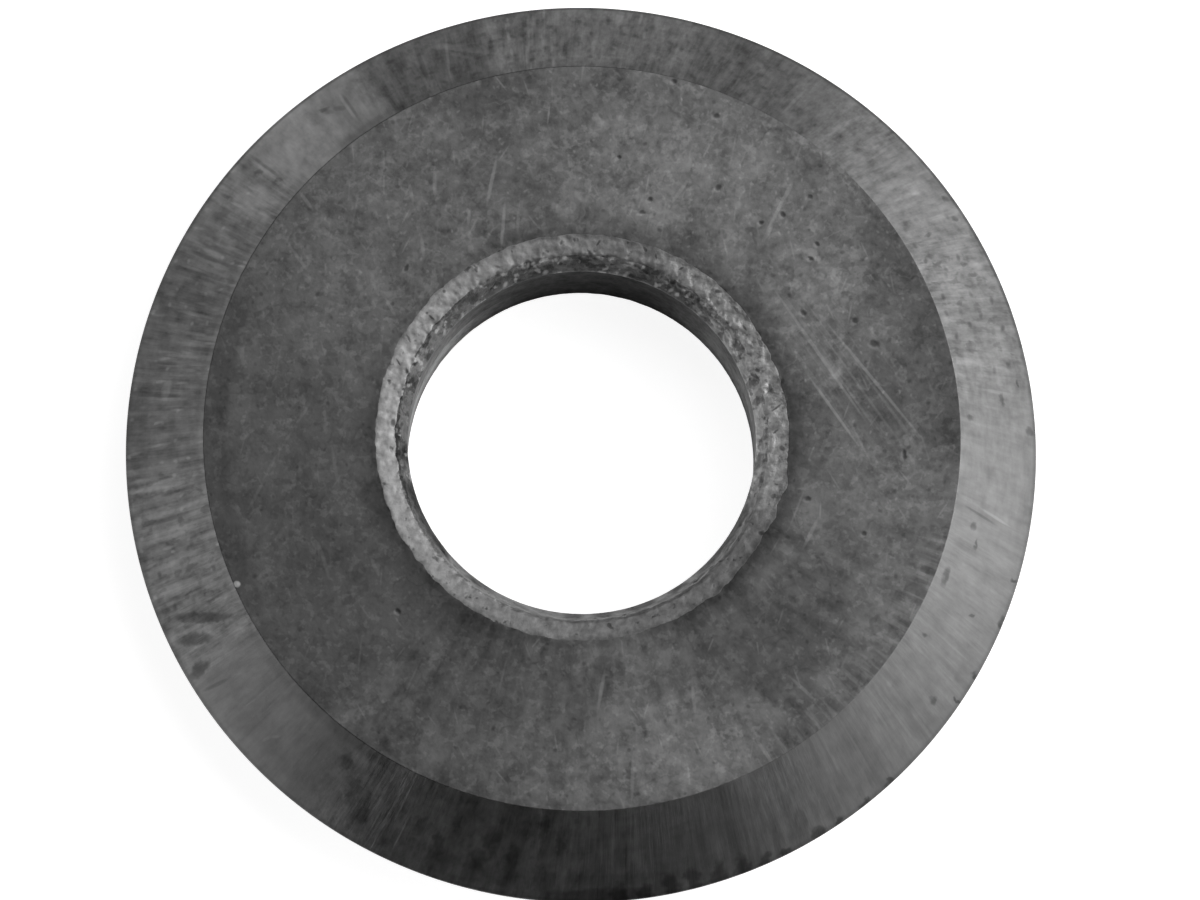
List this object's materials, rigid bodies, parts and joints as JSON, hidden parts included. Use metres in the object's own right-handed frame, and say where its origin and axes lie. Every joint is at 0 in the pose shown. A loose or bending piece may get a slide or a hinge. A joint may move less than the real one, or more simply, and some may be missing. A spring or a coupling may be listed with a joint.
{
  "type": "tile cutter wheel",
  "caption": "Small flat disc with a V-shaped cutting rim and a central bore, rolled along a ceramic tile to score it.",
  "frame": {"origin": "middle of the bore, halfway between the two faces", "axes": "+Z along the axle through the bore; the wheel is the same all round it and the same on both faces"},
  "size_m": [0.016, 0.016, 0.003],
  "materials": {
    "sintered_carbide": "dark grey sintered tungsten carbide, ground on the faces and bevels, rough as sintered round the bore"
  },
  "bodies": {
    "root": {"cutter_wheel": "sintered_carbide"}
  },
  "joints": []
}
